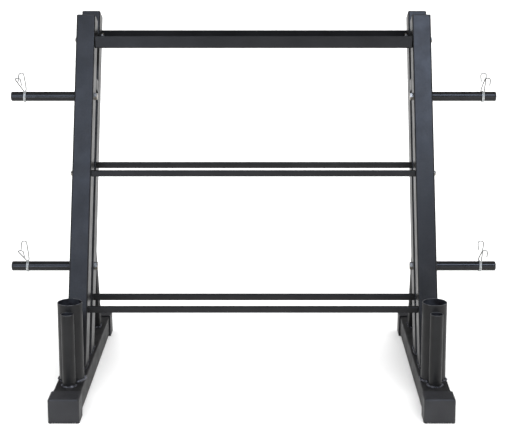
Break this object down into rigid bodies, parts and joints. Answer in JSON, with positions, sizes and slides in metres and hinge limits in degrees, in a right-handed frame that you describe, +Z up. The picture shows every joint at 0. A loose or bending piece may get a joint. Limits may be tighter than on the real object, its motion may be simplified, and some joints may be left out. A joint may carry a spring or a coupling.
{
  "type": "weight storage rack",
  "caption": "Free-standing steel rack with leaning double uprights, side pegs for weight plates, two pairs of shelf rails, a top tray and tubes for bars on its feet.",
  "frame": {"origin": "on the floor, in the middle of the overall width and depth", "axes": "+X to the right as seen from the front, +Y from front to back, +Z up"},
  "size_m": [1.2948, 0.7505, 0.9242],
  "materials": {
    "coated_steel": "glossy charcoal powder coat",
    "black_plastic": "fine texture",
    "zinc_steel": "bright zinc",
    "spring_steel": "bright zinc-plated wire"
  },
  "bodies": {
    "rack": {"left_foot_tube": "coated_steel", "left_front_upright": "coated_steel", "left_rear_upright": "coated_steel", "left_rear_strut": "coated_steel", "left_upright_spacer": "coated_steel", "left_large_bar_holder": "coated_steel", "left_small_bar_holder": "coated_steel", "left_upper_peg": "coated_steel", "left_lower_peg": "coated_steel", "left_front_foot_cap": "black_plastic", "left_rear_foot_cap": "black_plastic", "left_front_upright_cap": "black_plastic", "left_rear_upright_cap": "black_plastic", "left_upper_peg_plug": "black_plastic", "left_lower_peg_plug": "black_plastic", "left_upper_peg_bolt": "zinc_steel", "left_lower_peg_bolt": "zinc_steel", "left_front_tray_bolt": "zinc_steel", "left_rear_tray_bolt": "zinc_steel", "left_front_tray_nut": "zinc_steel", "left_rear_tray_nut": "zinc_steel", "left_middle_front_rail_bolt": "zinc_steel", "left_middle_rear_rail_bolt": "zinc_steel", "left_bottom_front_rail_bolt": "zinc_steel", "left_bottom_rear_rail_bolt": "zinc_steel", "right_foot_tube": "coated_steel", "right_front_upright": "coated_steel", "right_rear_upright": "coated_steel", "right_rear_strut": "coated_steel", "right_upright_spacer": "coated_steel", "right_large_bar_holder": "coated_steel", "right_small_bar_holder": "coated_steel", "right_upper_peg": "coated_steel", "right_lower_peg": "coated_steel", "right_front_foot_cap": "black_plastic", "right_rear_foot_cap": "black_plastic", "right_front_upright_cap": "black_plastic", "right_rear_upright_cap": "black_plastic", "right_upper_peg_plug": "black_plastic", "right_lower_peg_plug": "black_plastic", "right_upper_peg_bolt": "zinc_steel", "right_lower_peg_bolt": "zinc_steel", "right_front_tray_bolt": "zinc_steel", "right_rear_tray_bolt": "zinc_steel", "right_front_tray_nut": "zinc_steel", "right_rear_tray_nut": "zinc_steel", "right_middle_front_rail_bolt": "zinc_steel", "right_middle_rear_rail_bolt": "zinc_steel", "right_bottom_front_rail_bolt": "zinc_steel", "right_bottom_rear_rail_bolt": "zinc_steel", "middle_front_rail": "coated_steel", "middle_rear_rail": "coated_steel", "bottom_front_rail": "coated_steel", "bottom_rear_rail": "coated_steel", "top_tray": "coated_steel"},
    "left_upper_clip": {"left_upper_clip": "spring_steel"},
    "left_lower_clip": {"left_lower_clip": "spring_steel"},
    "right_upper_clip": {"right_upper_clip": "spring_steel"},
    "right_lower_clip": {"right_lower_clip": "spring_steel"}
  },
  "joints": [
    {"name": "left_upper_clip_slide", "type": "slide", "parent": "rack", "child": "left_upper_clip", "axis": [1, 0, 0], "range_m": [-0.05, 0.128]},
    {"name": "left_lower_clip_slide", "type": "slide", "parent": "rack", "child": "left_lower_clip", "axis": [1, 0, 0], "range_m": [-0.055, 0.122]},
    {"name": "right_upper_clip_slide", "type": "slide", "parent": "rack", "child": "right_upper_clip", "axis": [1, 0, 0], "range_m": [-0.128, 0.05]},
    {"name": "right_lower_clip_slide", "type": "slide", "parent": "rack", "child": "right_lower_clip", "axis": [1, 0, 0], "range_m": [-0.122, 0.055]}
  ]
}
